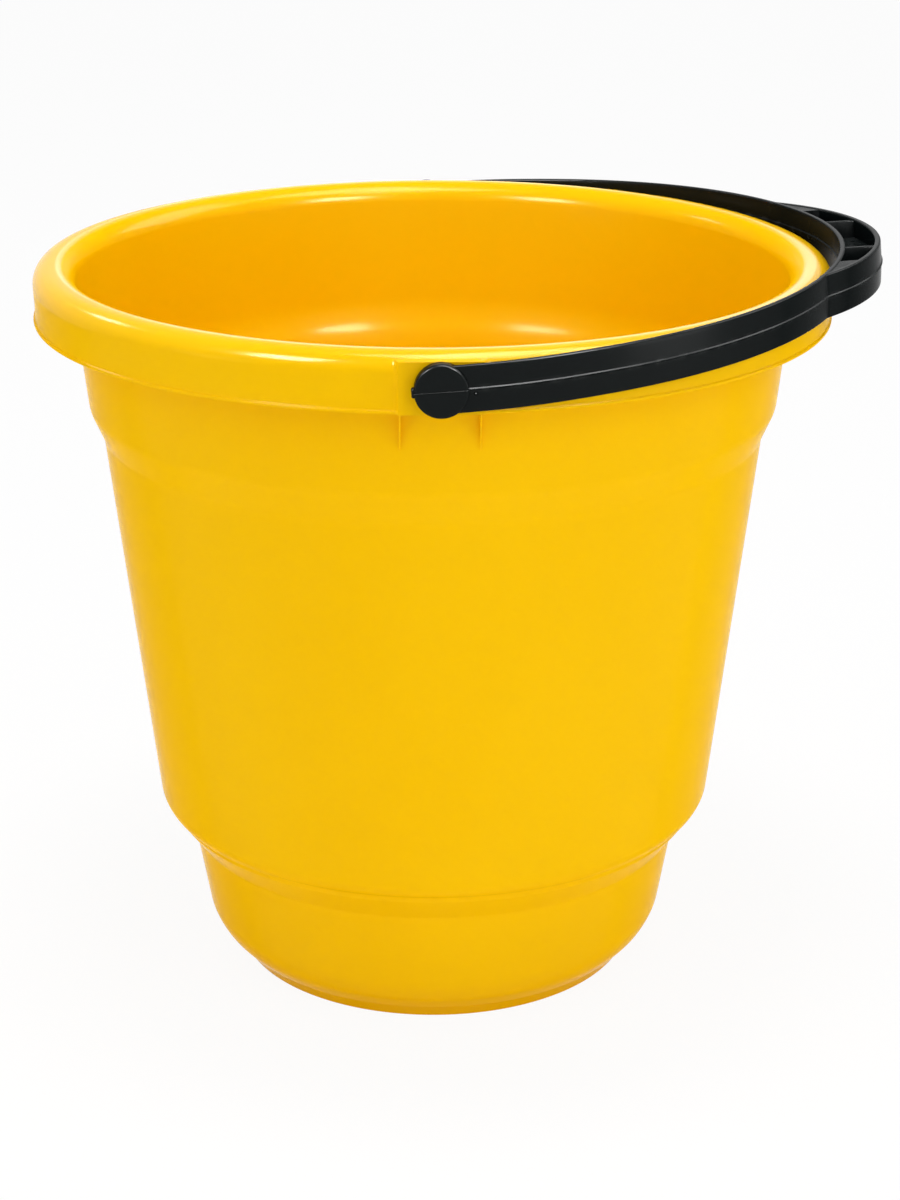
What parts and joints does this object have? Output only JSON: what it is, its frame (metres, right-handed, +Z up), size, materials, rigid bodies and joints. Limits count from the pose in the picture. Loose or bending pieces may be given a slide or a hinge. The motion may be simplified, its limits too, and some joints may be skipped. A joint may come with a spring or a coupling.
{
  "type": "bucket",
  "caption": "Round stepped plastic bucket with a rolled rim, drop skirt and narrow foot, and a swinging bail handle with a pocketed grip.",
  "frame": {"origin": "centre of the bucket's flat underside, on its axis", "axes": "+Z up along the bucket's axis; the bail turns about a line along Y and lies over towards +X at rest"},
  "size_m": [0.3088, 0.3026, 0.2791],
  "materials": {
    "yellow_plastic": "smooth gloss, moulded in one colour",
    "black_plastic": "satin gloss, moulded in one colour, with a parting line"
  },
  "bodies": {
    "bucket": {"bucket_body": "yellow_plastic"},
    "bail": {"bail_handle": "black_plastic"}
  },
  "joints": [
    {"name": "bail_pivot", "type": "hinge", "parent": "bucket", "child": "bail", "pos_m": [0, 0, 0.2609], "axis": [0, -1, 0], "range_deg": [0, 172.6]}
  ]
}
